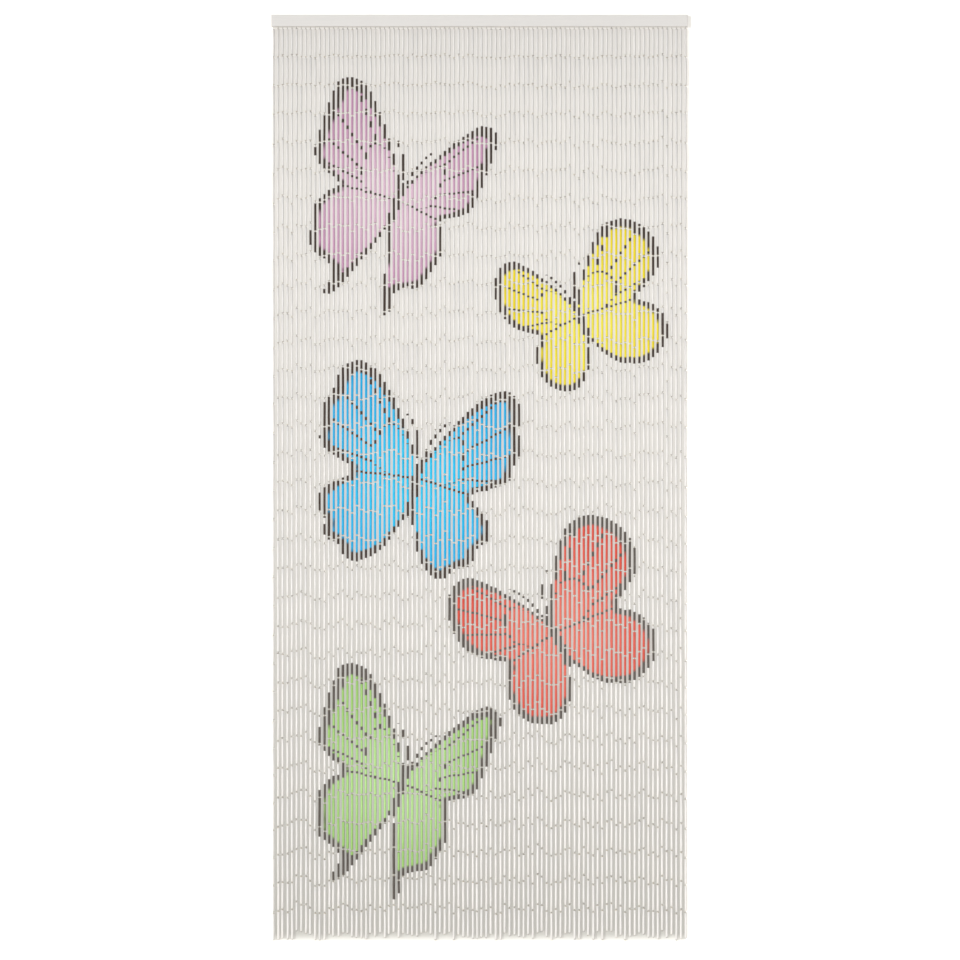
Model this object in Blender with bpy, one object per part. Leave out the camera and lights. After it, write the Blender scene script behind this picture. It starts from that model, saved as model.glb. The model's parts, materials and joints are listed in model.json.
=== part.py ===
"""Bamboo door curtain: ninety strands of tubes hanging from a painted wooden header rail.

The front faces -Y. The origin is the middle of the rail's back face, where the rail is fixed
to the wall over the door. Each strand is one long four-sided rod here, hung by a thin neck from
a root strip that runs inside a groove in the rail's underside.
"""

import math
import random

import bmesh
import bpy
from mathutils import Vector

# Whole curtain, in metres
CURTAIN_WIDTH = 0.900
CURTAIN_DROP = 2.000

# Header rail
RAIL_HEIGHT = 0.026
RAIL_DEPTH = 0.014
RAIL_ROUNDING = 0.0015
ROUNDING_STEPS = 2

# Groove in the rail's underside, which holds the root strip
GROOVE_WIDTH = 0.0066
GROOVE_HEIGHT = 0.0060
GROOVE_END_WALL = 0.0012
CLEARANCE = 0.0003

# Root strip and necks
STRIP_HEIGHT = 0.0030
NECK_WIDTH = 0.0014
NECK_DROP = 0.0035

# Strands
STRAND_COUNT = 90
STRAND_PITCH = 0.0100
TUBE_WIDTH = 0.0052
SHOULDER_HEIGHT = 0.0006
BODY_RINGS = 9

# How unevenly the strands hang. A higher gathering puts more of the feet near the lowest one
SEED = 31
LONGEST_STRAND = 0
TOP_SCATTER = 0.0010
FOOT_SCATTER = 0.0210
FOOT_GATHERING = 1.5
SIDE_SWAY = 0.0009
DEPTH_SWAY = 0.0012
SLOW_BEATS = (0.4, 1.1)
QUICK_BEATS = (1.6, 2.6)
SLOW_SHARE = 0.65

# Finishes, as linear colour and roughness
RAIL_PAINT = ((0.78, 0.76, 0.72), 0.55)
PALE_BAMBOO = ((0.74, 0.71, 0.64), 0.50)

RAIL_TOP = RAIL_HEIGHT / 2
RAIL_UNDERSIDE = -RAIL_HEIGHT / 2
MIDDLE_Y = -RAIL_DEPTH / 2
LOWEST_FOOT = RAIL_TOP - CURTAIN_DROP
STRIP_TOP = RAIL_UNDERSIDE + GROOVE_HEIGHT - CLEARANCE
STRIP_BOTTOM = STRIP_TOP - STRIP_HEIGHT
STRIP_LENGTH = CURTAIN_WIDTH - 2 * (GROOVE_END_WALL + CLEARANCE)
STRIP_WIDTH = GROOVE_WIDTH - 2 * CLEARANCE


def clear_scene():
    for old in list(bpy.data.objects):
        bpy.data.objects.remove(old, do_unlink=True)


def paint(name, colour, roughness):
    """A Principled material of one colour for a wooden piece."""
    material = bpy.data.materials.new(name)
    material.use_nodes = True
    shader = material.node_tree.nodes["Principled BSDF"]
    shader.inputs["Base Color"].default_value = (*colour, 1.0)
    shader.inputs["Roughness"].default_value = roughness
    shader.inputs["Metallic"].default_value = 0.0
    return material


def add_object(name, bm, material):
    """Turns a bmesh into a named object in the scene."""
    mesh = bpy.data.meshes.new(name)
    bm.to_mesh(mesh)
    bm.free()
    obj = bpy.data.objects.new(name, mesh)
    bpy.context.scene.collection.objects.link(obj)
    if material:
        mesh.materials.append(material)
    return obj


def block(name, size, centre, material):
    """A box of the given size, with its scale already in the mesh."""
    bm = bmesh.new()
    bmesh.ops.create_cube(bm, size=1.0)
    bmesh.ops.scale(bm, verts=bm.verts, vec=size)
    obj = add_object(name, bm, material)
    obj.location = centre
    return obj


def make_rail():
    """The wooden rail, its long edges rounded over and its underside grooved."""
    rail = block(
        "header_rail",
        (CURTAIN_WIDTH, RAIL_DEPTH, RAIL_HEIGHT),
        (0.0, MIDDLE_Y, 0.0),
        paint("ivory_painted_wood", *RAIL_PAINT),
    )
    groove = block(
        "groove_cutter",
        (CURTAIN_WIDTH - 2 * GROOVE_END_WALL, GROOVE_WIDTH, 2 * GROOVE_HEIGHT),
        (0.0, MIDDLE_Y, RAIL_UNDERSIDE),
        None,
    )
    groove.hide_render = True
    groove.display_type = "WIRE"

    rounding = rail.modifiers.new("rounded_edges", "BEVEL")
    rounding.width = RAIL_ROUNDING
    rounding.segments = ROUNDING_STEPS
    rounding.limit_method = "ANGLE"
    cut = rail.modifiers.new("groove", "BOOLEAN")
    cut.operation = "DIFFERENCE"
    cut.solver = "EXACT"
    cut.object = groove
    return rail


def smooth_sway(rng, reach):
    """A function of t, from 0 at the top to 1 at the foot: two waves that grow to +-reach."""
    slow_phase = rng.uniform(0, math.tau)
    quick_phase = rng.uniform(0, math.tau)
    slow_beats = rng.uniform(*SLOW_BEATS)
    quick_beats = rng.uniform(*QUICK_BEATS)

    def at(t):
        slow = math.sin(math.tau * slow_beats * t + slow_phase)
        quick = math.sin(math.tau * quick_beats * t + quick_phase)
        return reach * t * (SLOW_SHARE * slow + (1 - SLOW_SHARE) * quick)

    return at


def strand_rings(index, rng):
    """The (centre, width) of each ring down one strand, from the foot of its neck to its cut end."""
    x = (index - (STRAND_COUNT - 1) / 2) * STRAND_PITCH
    top = RAIL_UNDERSIDE - NECK_DROP + rng.uniform(-TOP_SCATTER, TOP_SCATTER)
    foot = LOWEST_FOOT + FOOT_SCATTER * rng.random() ** FOOT_GATHERING
    if index == LONGEST_STRAND:
        foot = LOWEST_FOOT
    side = smooth_sway(rng, SIDE_SWAY)
    depth = smooth_sway(rng, DEPTH_SWAY)

    rings = [(Vector((x, MIDDLE_Y, top)), NECK_WIDTH)]
    body_top = top - SHOULDER_HEIGHT
    for ring in range(BODY_RINGS + 1):
        t = ring / BODY_RINGS
        z = body_top + (foot - body_top) * t
        rings.append((Vector((x + side(t), MIDDLE_Y + depth(t), z)), TUBE_WIDTH))
    return rings


def turn_to_diamond(face, centre, width):
    """Moves the four corners of an upright rectangle to a diamond, one corner towards the front."""
    middle = face.calc_center_median()
    for vert in face.verts:
        across = math.copysign(1.0, vert.co.x - middle.x)
        along = math.copysign(1.0, vert.co.y - middle.y)
        outward = Vector((across + along, along - across, 0.0)).normalized()
        vert.co = centre + outward * width / 2


def move_ring(face, centre, width):
    """Moves a ring to a new centre and gives it a new width, without turning it."""
    middle = face.calc_center_median()
    for vert in face.verts:
        outward = (vert.co - middle).normalized()
        vert.co = centre + outward * width / 2


def make_strands():
    """The root strip, one cell long for each strand, with every strand drawn down out of its cell."""
    bm = bmesh.new()
    bmesh.ops.create_grid(bm, x_segments=STRAND_COUNT, y_segments=1, size=0.5)
    bmesh.ops.scale(bm, verts=bm.verts, vec=(STRIP_LENGTH, STRIP_WIDTH, 1.0))
    bmesh.ops.translate(bm, verts=bm.verts, vec=(0.0, MIDDLE_Y, STRIP_BOTTOM))
    underside = sorted(bm.faces, key=lambda face: face.calc_center_median().x)

    raised = bmesh.ops.extrude_face_region(bm, geom=bm.faces[:], use_keep_orig=True)
    top_verts = [part for part in raised["geom"] if isinstance(part, bmesh.types.BMVert)]
    bmesh.ops.translate(bm, verts=top_verts, vec=(0.0, 0.0, STRIP_HEIGHT))

    bmesh.ops.inset_individual(bm, faces=underside, thickness=NECK_WIDTH)
    rng = random.Random(SEED)
    for index, face in enumerate(underside):
        rings = strand_rings(index, rng)
        root = Vector((rings[0][0].x, MIDDLE_Y, STRIP_BOTTOM))
        turn_to_diamond(face, root, NECK_WIDTH)
        for centre, width in rings:
            face = bmesh.ops.extrude_discrete_faces(bm, faces=[face])["faces"][0]
            move_ring(face, centre, width)

    bmesh.ops.recalc_face_normals(bm, faces=bm.faces)
    return add_object("strands", bm, paint("pale_bamboo", *PALE_BAMBOO))


clear_scene()
make_rail()
make_strands()
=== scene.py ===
# %% [markdown]
# # A bamboo door curtain
#
# A string curtain is one small shape, repeated: ninety strands, and on each of them thirty-two
# tubes of bamboo hooked together with wire. The tubes are painted ivory, and five butterflies
# are painted across them while they hang. This script builds the finished curtain round a plain
# model of it, which gives every place and size: a header rail, and each strand as one long rod.

# %% Set up
import json
import math
import random

import bmesh
import bpy
from mathutils import Matrix, Vector

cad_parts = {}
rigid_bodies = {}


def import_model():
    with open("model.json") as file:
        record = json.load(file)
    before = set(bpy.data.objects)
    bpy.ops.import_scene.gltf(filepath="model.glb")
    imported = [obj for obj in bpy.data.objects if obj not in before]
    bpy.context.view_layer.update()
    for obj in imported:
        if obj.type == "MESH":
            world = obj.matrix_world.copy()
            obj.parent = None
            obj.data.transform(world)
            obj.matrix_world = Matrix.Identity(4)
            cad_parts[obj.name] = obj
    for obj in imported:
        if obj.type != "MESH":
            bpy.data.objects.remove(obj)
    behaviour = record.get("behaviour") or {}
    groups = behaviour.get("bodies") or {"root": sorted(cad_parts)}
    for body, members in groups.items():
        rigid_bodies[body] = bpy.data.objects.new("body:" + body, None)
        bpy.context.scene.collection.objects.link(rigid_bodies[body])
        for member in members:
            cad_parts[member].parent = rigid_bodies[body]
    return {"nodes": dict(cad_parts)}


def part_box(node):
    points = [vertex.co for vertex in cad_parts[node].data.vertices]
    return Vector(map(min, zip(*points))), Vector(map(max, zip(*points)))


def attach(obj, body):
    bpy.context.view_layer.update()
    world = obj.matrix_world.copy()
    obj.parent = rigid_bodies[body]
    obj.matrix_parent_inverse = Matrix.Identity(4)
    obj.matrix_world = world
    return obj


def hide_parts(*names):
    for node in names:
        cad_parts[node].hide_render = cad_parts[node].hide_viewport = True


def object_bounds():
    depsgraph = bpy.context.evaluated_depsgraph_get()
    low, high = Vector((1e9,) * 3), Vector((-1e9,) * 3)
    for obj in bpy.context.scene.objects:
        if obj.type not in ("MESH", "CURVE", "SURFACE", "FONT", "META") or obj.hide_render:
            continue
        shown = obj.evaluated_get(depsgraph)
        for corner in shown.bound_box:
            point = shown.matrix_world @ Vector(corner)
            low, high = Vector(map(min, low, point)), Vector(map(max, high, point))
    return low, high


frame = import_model()
solid_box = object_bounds()
rail_low, rail_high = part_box("header_rail")
MM = 0.001
print("curtain of", [round(side / MM) for side in solid_box[1] - solid_box[0]], "mm")

# %% [markdown]
# ## Helpers
#
# Materials and Geometry Nodes are both trees of nodes, so one small function serves them all. It
# adds a node, sets its properties, and then fills its inputs in order: another node or socket is
# linked, a plain value is typed in, and None leaves an input alone. The kinds of node that come up
# most get short names, and a Math node adds unless it is told otherwise. Colours are written in
# hex, which is sRGB, and Blender wants them linear.

# %% Helpers
MATH, VECTOR_MATH = "ShaderNodeMath", "ShaderNodeVectorMath"
MIX, MAP_RANGE = "ShaderNodeMix", "ShaderNodeMapRange"
COMBINE, SEPARATE = "ShaderNodeCombineXYZ", "ShaderNodeSeparateXYZ"
NOISE, COORDINATES, LOOK_UP = "ShaderNodeTexNoise", "ShaderNodeTexCoord", "ShaderNodeAttribute"
SET_POSITION, SET_MATERIAL = "GeometryNodeSetPosition", "GeometryNodeSetMaterial"
STORE, READ = "GeometryNodeStoreNamedAttribute", "GeometryNodeInputNamedAttribute"
RANDOM = "FunctionNodeRandomValue"


def fill(tree, socket, value):
    """Links a node or a socket to an input, or types a plain value in."""
    if isinstance(value, bpy.types.Node):
        value = next(output for output in value.outputs if output.enabled)
    if isinstance(value, bpy.types.NodeSocket):
        tree.links.new(value, socket)
    elif value is not None:
        socket.default_value = value


def add(tree, kind, *values, **settings):
    """Adds a node, sets its properties and fills its shown inputs in order."""
    node = tree.nodes.new(kind)
    for name, setting in settings.items():
        setattr(node, name, setting)
    shown = [socket for socket in node.inputs if socket.enabled]
    for socket, value in zip(shown, values):
        fill(tree, socket, value)
    return node


def linear(hex_colour):
    """A hex sRGB colour as linear red, green, blue and alpha."""
    parts = [int(hex_colour[place:place + 2], 16) / 255 for place in (1, 3, 5)]
    bright = [c / 12.92 if c <= 0.04045 else ((c + 0.055) / 1.055) ** 2.4 for c in parts]
    return (*bright, 1.0)


def new_group(kind, name, inputs, outputs):
    """A tree with named inputs and outputs, as (tree, what its inputs give, node for its results)."""
    tree = bpy.data.node_groups.new(name, kind)
    for way, sockets in (("INPUT", inputs), ("OUTPUT", outputs)):
        for label, holds in sockets.items():
            tree.interface.new_socket(name=label, in_out=way, socket_type="NodeSocket" + holds)
    return tree, tree.nodes.new("NodeGroupInput").outputs, tree.nodes.new("NodeGroupOutput")


def show(piece):
    """Puts an object in the scene."""
    bpy.context.scene.collection.objects.link(piece)
    return piece


def keep(name, bm):
    """Turns a bmesh into an object with a mesh of the same name."""
    mesh = bpy.data.meshes.new(name)
    bm.to_mesh(mesh)
    bm.free()
    return bpy.data.objects.new(name, mesh)


print("helpers ready")

# %% [markdown]
# ## The camera
#
# The photograph looks straight at the middle of the curtain with almost no perspective, so a long
# lens stands far away. The distance follows from how much of the wall the picture has to take in.

# %% Camera
LENS_MM = 135
SENSOR_MM = 36
PICTURE_SPAN = 2.0717
PICTURE_CENTRE = Vector((0.001, 0.0, rail_high.z - 1.0046))

lens = bpy.data.cameras.new("long_lens")
lens.lens = LENS_MM
lens.sensor_width = SENSOR_MM
camera = bpy.data.objects.new("camera", lens)
distance = PICTURE_SPAN * LENS_MM / SENSOR_MM
camera.location = PICTURE_CENTRE + Vector((0.0, rail_low.y - distance, 0.0))
camera.rotation_euler = (math.radians(90), 0.0, 0.0)
lens.clip_end = 100.0
bpy.context.scene.camera = show(camera)
bpy.context.scene.view_settings.view_transform = "Standard"
print("camera stands", round(distance, 2), "m away")

# %% [markdown]
# ## Where each strand hangs
#
# The plain model holds every strand as a four-sided rod that sways a little on its way down. Its
# corners lie in level rings, so the middle of each ring is a point on the strand. Joining those
# points gives ninety paths. Everything that hangs is placed along them, so it stays on the rods.

# %% Strand paths
STRAND_COUNT = 90
STRAND_PITCH = 10.0 * MM


def strand_points(node, count, pitch):
    """For each strand, the middles of its rings from the top down, read from the plain model."""
    rings = [{} for _ in range(count)]
    for vert in node.data.vertices:
        if vert.co.z > rail_low.z:
            continue
        strand = round(vert.co.x / pitch + (count - 1) / 2)
        rings[strand].setdefault(round(vert.co.z, 5), set()).add(vert.co.copy().freeze())
    paths = []
    for levels in rings:
        middles = [sum(levels[z], Vector()) / len(levels[z]) for z in sorted(levels, reverse=True)]
        paths.append(middles[1:])
    return paths


def path_curve(paths):
    """One curve object with a straight-sided spline for each strand."""
    curve = bpy.data.curves.new("strand_paths", "CURVE")
    curve.dimensions = "3D"
    for points in paths:
        spline = curve.splines.new("POLY")
        spline.points.add(len(points) - 1)
        for target, point in zip(spline.points, points):
            target.co = (*point, 1.0)
    return show(bpy.data.objects.new("strand_paths", curve))


paths = strand_points(frame["nodes"]["strands"], STRAND_COUNT, STRAND_PITCH)
strand_paths = path_curve(paths)
drops = [points[0].z - points[-1].z for points in paths]
print(len(paths), "strands,", round(min(drops), 3), "to", round(max(drops), 3), "m long")

# %% [markdown]
# ## One bamboo tube
#
# Each tube is a cut length of thin bamboo. It is never quite round or straight, its ends are
# sawn and slightly rounded by tumbling, and now and then it has the ring of a node. A profile
# that goes down the outside and back up through the bore is turned into a ring of eight sides.
# Six different tubes are enough for the eye, because each copy is turned and stretched.
#
# Every face also gets a place on a flat map, as if the tube were slit and unrolled. The grain
# and the worn paint at the ends are drawn on that map.

# %% Tube shapes
TUBE_LENGTH = 58.8 * MM
TUBE_RADIUS = 2.6 * MM
BORE_RADIUS = 1.0 * MM
END_ROUNDING = 0.45 * MM
TUBE_SIDES = 8
WAIST_RANGE = (0.95, 0.99)
WAIST_AT, FULL_AGAIN_AT = 0.36, 0.70
RING_SWELL, RING_ABOVE, RING_BELOW = 1.10, 1.3 * MM, 1.1 * MM
BOW_REACH = 0.3 * MM
OVAL_RANGE = (0.02, 0.05)
OUTSIDE_ON_MAP = (0.02, 0.86)
CUTS_ON_MAP = ((0.88, 0.91), (0.92, 0.95), (0.96, 0.99))


def tube_profile(node_at, waist):
    """(radius, distance from the upper end) down the outside of a tube, from rim to rim."""
    middle = [(TUBE_RADIUS * waist, TUBE_LENGTH * WAIST_AT), (TUBE_RADIUS, TUBE_LENGTH * FULL_AGAIN_AT)]
    if node_at:
        ring = node_at * TUBE_LENGTH
        middle = [(TUBE_RADIUS, ring - RING_ABOVE), (TUBE_RADIUS * RING_SWELL, ring),
                  (TUBE_RADIUS, ring + RING_BELOW)]
    return [
        (TUBE_RADIUS - END_ROUNDING, 0.0),
        (TUBE_RADIUS, END_ROUNDING),
        *middle,
        (TUBE_RADIUS, TUBE_LENGTH - END_ROUNDING),
        (TUBE_RADIUS - END_ROUNDING, TUBE_LENGTH),
    ]


def make_tube(name, rng, node_at=None):
    """A hollow tube that hangs down its own Z axis from zero, with an unrolled map."""
    outside = tube_profile(node_at, rng.uniform(*WAIST_RANGE))
    rings = [(BORE_RADIUS, 0.0), *outside, (BORE_RADIUS, TUBE_LENGTH)]
    bow = Vector((rng.uniform(-BOW_REACH, BOW_REACH), rng.uniform(-BOW_REACH, BOW_REACH), 0.0))
    oval, oval_turn = rng.uniform(*OVAL_RANGE), rng.uniform(0, math.pi)

    bm = bmesh.new()
    unrolled = bm.loops.layers.uv.new("unrolled")
    cut = bm.faces.layers.bool.new("cut_face")
    loops = []
    for radius, down in rings:
        along = down / TUBE_LENGTH
        sideways = bow * 4 * along * (1 - along)
        corners = []
        for side in range(TUBE_SIDES):
            turn = math.tau * side / TUBE_SIDES
            reach = radius * (1 + oval * math.cos(2 * (turn - oval_turn)))
            corners.append(bm.verts.new(Vector((math.cos(turn), math.sin(turn), 0)) * reach
                                        + Vector((0, 0, down)) + sideways))
        loops.append(corners)

    for band in range(len(rings)):
        upper, lower = loops[band], loops[(band + 1) % len(rings)]
        last = len(rings) - 1
        is_cut = band in (0, last - 1, last)
        is_rounding = band in (1, last - 2)
        if is_cut:
            rows = CUTS_ON_MAP[(0, last - 1, last).index(band)]
        else:
            low, high = OUTSIDE_ON_MAP
            rows = [low + (high - low) * rings[ring][1] / TUBE_LENGTH for ring in (band, band + 1)]
        for side in range(TUBE_SIDES):
            after = (side + 1) % TUBE_SIDES
            face = bm.faces.new((upper[side], upper[after], lower[after], lower[side]))
            face.smooth = not (is_cut or is_rounding)
            face[cut] = is_cut
            columns = (side, side + 1, side + 1, side)
            for loop, column, row in zip(face.loops, columns, (rows[0], rows[0], rows[1], rows[1])):
                loop[unrolled].uv = (column / TUBE_SIDES, row)
    bmesh.ops.recalc_face_normals(bm, faces=bm.faces)
    return keep(name, bm)


# Geometry Nodes will pick the shapes from a collection
TUBE_SEED = 5
NODE_PLACES = (None, None, None, None, 0.3, 0.74)
rng = random.Random(TUBE_SEED)
tube_shapes = bpy.data.collections.new("tube_shapes")
for number, place in enumerate(NODE_PLACES):
    tube_shapes.objects.link(make_tube(f"tube_shape_{number}", rng, place))

# %% [markdown]
# ## One wire link
#
# The tubes are hooked together: a wire runs through each bore and ends in a small eye, and two
# eyes interlock between the tubes. Only the eyes and a little wire show, so a link is two rings
# at right angles with a short stem on each, and a strand ends in one lone eye. There are almost
# three thousand links, so a ring has only six corners and its wire three sides.

# %% Link shapes
EYE_RADIUS = 0.75 * MM
WIRE_RADIUS = 0.25 * MM
STEM_LENGTH = 3.0 * MM
JOINT_GAP = 2.4 * MM
EYE_CORNERS = 6
WIRE_SIDES = 3


def add_eye(bm, centre, turned, stem_up):
    """A wire ring standing upright, turned about Z, with a stem that leaves it upwards or downwards."""
    turn = Matrix.Rotation(turned, 3, "Z")
    rings = []
    for corner in range(EYE_CORNERS):
        angle = math.tau * corner / EYE_CORNERS
        outward = Vector((math.cos(angle), 0, math.sin(angle)))
        ring = []
        for side in range(WIRE_SIDES):
            around = math.tau * side / WIRE_SIDES
            out = outward * (EYE_RADIUS + WIRE_RADIUS * math.cos(around))
            aside = Vector((0, WIRE_RADIUS * math.sin(around), 0))
            ring.append(bm.verts.new(centre + turn @ (out + aside)))
        rings.append(ring)
    for ring, following in zip(rings, rings[1:] + rings[:1]):
        for side in range(WIRE_SIDES):
            after = (side + 1) % WIRE_SIDES
            bm.faces.new((ring[side], following[side], following[after], ring[after]))
    middle = centre + Vector((0, 0, stem_up * (EYE_RADIUS + STEM_LENGTH / 2)))
    bmesh.ops.create_cone(bm, cap_ends=True, segments=WIRE_SIDES, radius1=WIRE_RADIUS, radius2=WIRE_RADIUS,
                          depth=STEM_LENGTH, matrix=Matrix.Translation(middle))


def make_link(name, eyes):
    """A link made of (height of the eye's centre, turn, which way its stem goes)."""
    bm = bmesh.new()
    for height, turned, stem_up in eyes:
        add_eye(bm, Vector((0, 0, height)), turned, stem_up)
    bmesh.ops.recalc_face_normals(bm, faces=bm.faces)
    link = keep(name, bm)
    link.data.shade_smooth()
    return link


hooked = EYE_RADIUS - WIRE_RADIUS
joint_link = make_link("joint_link", [(hooked, 0.0, 1), (-hooked, math.radians(90), -1)])
foot_eye = make_link("foot_eye", [(-EYE_RADIUS, 0.0, 1)])
print("a link has", len(joint_link.data.polygons), "faces")

# %% [markdown]
# ## Hanging the tubes
#
# Geometry Nodes work out where every tube goes. There is one point for each tube, numbered down
# strand after strand. Each tube gets its own length, and adding up the lengths before it in its
# strand says how far down it starts: that is what Accumulate Field does. The small differences
# add up, so the joints line up near the rail and wander further down, as on the real curtain.
# Sample Curve then finds each tube's top and foot on the strand's path. A small nudge, drawn by
# the number of the joint, makes the strand kink there, and the two tubes at a joint share it.

# %% Layout of the tubes
TUBES_PER_STRAND = 32
LENGTH_SPREAD = 4.0 * MM
JOINT_NUDGE = 0.25 * MM
FOOT_EYE_DROP = 1.8 * MM
NUMBERS_PER_STRAND = 64

layout, given, result = new_group("GeometryNodeTree", "tube_layout", {
    "Strand Paths": "Object", "First Strand": "Int", "Strands": "Int", "Tubes per Strand": "Int",
    "Tube Length": "Float", "Length Spread": "Float", "Joint Gap": "Float", "Foot Room": "Float",
    "Joint Nudge": "Float", "Seed": "Int",
}, {"Points": "Geometry", "Tube Top": "Vector", "Tube Foot": "Vector", "Tube": "Int"})

number = add(layout, "GeometryNodeInputIndex")
tubes_each = given["Tubes per Strand"]
how_many = add(layout, MATH, given["Strands"], tubes_each, operation="MULTIPLY")
row = add(layout, MATH, add(layout, MATH, number, tubes_each, operation="DIVIDE"), operation="FLOOR")
strand = add(layout, MATH, row, given["First Strand"])
tube = add(layout, MATH, number, tubes_each, operation="MODULO")
joint = add(layout, MATH, strand, NUMBERS_PER_STRAND, tube, operation="MULTIPLY_ADD")
next_joint = add(layout, MATH, joint, 1)

shortest = add(layout, MATH, given["Tube Length"], given["Length Spread"], operation="SUBTRACT")
longest = add(layout, MATH, given["Tube Length"], given["Length Spread"])
length = add(layout, RANDOM, shortest, longest, joint, given["Seed"])
step = add(layout, MATH, length, given["Joint Gap"])
run = add(layout, "GeometryNodeAccumulateField", step, row)
wanted = add(layout, MATH, run.outputs["Total"], given["Joint Gap"], operation="SUBTRACT")

paths_in = add(layout, "GeometryNodeObjectInfo", given["Strand Paths"]).outputs["Geometry"]
drop = add(layout, "GeometryNodeSampleIndex", paths_in, add(layout, "GeometryNodeSplineLength"), strand,
           domain="CURVE")
room = add(layout, MATH, drop, given["Foot Room"], operation="SUBTRACT")
fit = add(layout, MATH, room, wanted, operation="DIVIDE")
top_at = add(layout, MATH, run.outputs["Trailing"], fit, operation="MULTIPLY")
foot_at = add(layout, MATH, add(layout, MATH, length, fit, operation="MULTIPLY"), top_at)

nudge_out = add(layout, COMBINE, given["Joint Nudge"], given["Joint Nudge"], 0.0)
nudge_in = add(layout, VECTOR_MATH, nudge_out, (-1, -1, -1), operation="MULTIPLY")
ends = []
for place, joint_number in ((top_at, joint), (foot_at, next_joint)):
    found = add(layout, "GeometryNodeSampleCurve", paths_in, None, place, strand, mode="LENGTH")
    nudge = add(layout, RANDOM, nudge_in, nudge_out, joint_number, given["Seed"], data_type="FLOAT_VECTOR")
    ends.append(add(layout, VECTOR_MATH, found.outputs["Position"], nudge))
points = add(layout, SET_POSITION, add(layout, "GeometryNodePoints", how_many), None, ends[0])
for socket, source in zip(result.inputs, (points, *ends, tube)):
    fill(layout, socket, source)
print("layout tree has", len(layout.nodes), "nodes")

# %% [markdown]
# ## A panel of tubes
#
# The second tree puts a tube on each point. Align Rotation points it from its top to its foot,
# a random spin turns its grain and its bow another way, and its length is stretched to fit. Each
# tube keeps its number, and for its material the x of its own axis and a random lot. Then the
# copies are made real, and each gets its own cell of the picture map, so that no two tubes share
# any of it. Ten strands make a panel, which keeps every mesh a handy size.

# %% Tree for the tubes
WIDTH_RANGE = (0.92, 1.09)
MAP_COLUMNS, MAP_ROWS = 34, 10
CELL_MARGIN = 0.06
LOT_SEED_STEP = 7

layout_inputs = {item.name: item.socket_type[len("NodeSocket"):] for item in layout.interface.items_tree
                 if item.in_out == "INPUT"}
tree, given, result = new_group("GeometryNodeTree", "tube_panel", layout_inputs | {
    "Tube Shapes": "Collection", "Narrowest": "Float", "Widest": "Float", "Shape Count": "Int",
    "Paint": "Material", "Cut Bamboo": "Material",
}, {"Tubes": "Geometry"})


def lay_out(tree, given):
    """Puts the layout in a tree, passes the tree's inputs on to it and returns its outputs."""
    passed_on = [given[label] for label in layout_inputs]
    return add(tree, "GeometryNodeGroup", *passed_on, node_tree=layout).outputs


spots = lay_out(tree, given)
top, foot = spots["Tube Top"], spots["Tube Foot"]
number = add(tree, "GeometryNodeInputIndex")
seed = add(tree, MATH, given["Seed"], given["First Strand"])

downward = add(tree, VECTOR_MATH, foot, top, operation="SUBTRACT")
reach = add(tree, VECTOR_MATH, downward, operation="LENGTH").outputs["Value"]
hang = add(tree, "FunctionNodeAlignRotationToVector", None, None, downward, axis="Z")
any_turn = add(tree, RANDOM, 0.0, math.tau, number, seed)
spin = add(tree, "FunctionNodeAxisAngleToRotation", (0, 0, 1), any_turn)
turned = add(tree, "FunctionNodeRotateRotation", hang, spin, rotation_space="LOCAL")
width = add(tree, RANDOM, given["Narrowest"], given["Widest"], number, seed)
stretch = add(tree, MATH, reach, given["Tube Length"], operation="DIVIDE")
size = add(tree, COMBINE, width, width, stretch)

last_shape = add(tree, MATH, given["Shape Count"], 1, operation="SUBTRACT")
pick = add(tree, RANDOM, 0, last_shape, number, seed, data_type="INT")
shapes = add(tree, "GeometryNodeCollectionInfo", given["Tube Shapes"], True, True)
copies = add(tree, "GeometryNodeInstanceOnPoints", spots["Points"], None, shapes, True, pick, turned, size)

lot_seed = add(tree, MATH, seed, LOT_SEED_STEP)
lot = add(tree, RANDOM, 0.0, 1.0, number, lot_seed)
middle = add(tree, VECTOR_MATH, top, foot)
axis_x = add(tree, MATH, add(tree, SEPARATE, middle), 0.5, operation="MULTIPLY")
for label, value in (("axis_x", axis_x), ("lot", lot), ("tube_number", number)):
    copies = add(tree, STORE, copies, None, label, value, domain="INSTANCE")
real = add(tree, "GeometryNodeRealizeInstances", copies)

own_number = add(tree, READ, "tube_number")
unrolled = add(tree, READ, "unrolled", data_type="FLOAT_VECTOR")
inset = add(tree, VECTOR_MATH, unrolled, (1 - CELL_MARGIN, 1, 0), (CELL_MARGIN / 2, 0, 0),
            operation="MULTIPLY_ADD")
column = add(tree, MATH, own_number, MAP_COLUMNS, operation="MODULO")
map_row = add(tree, MATH, add(tree, MATH, own_number, MAP_COLUMNS, operation="DIVIDE"), operation="FLOOR")
cell = add(tree, COMBINE, column, map_row, 0.0)
on_map = add(tree, VECTOR_MATH, add(tree, VECTOR_MATH, inset, cell), (1 / MAP_COLUMNS, 1 / MAP_ROWS, 0),
             operation="MULTIPLY")
mapped = add(tree, STORE, real, None, "OFBake", on_map, data_type="FLOAT2", domain="CORNER")

is_cut = add(tree, READ, "cut_face", data_type="BOOLEAN")
painted = add(tree, SET_MATERIAL, mapped, None, given["Paint"])
finished = add(tree, SET_MATERIAL, painted, is_cut, given["Cut Bamboo"])
fill(tree, result.inputs["Tubes"], finished)
tubes_tree = tree
print("tube tree has", len(tree.nodes), "nodes")

# %% [markdown]
# ## The wire links
#
# The same layout serves the links. One hangs just above every tube, which is where two tubes
# meet, or where the first one meets the rail, and a lone eye hangs under the last tube.

# %% Tree for the links
tree, given, result = new_group("GeometryNodeTree", "link_panel", layout_inputs | {
    "Joint Link": "Object", "Foot Eye": "Object", "Wire": "Material",
}, {"Links": "Geometry"})

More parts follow.
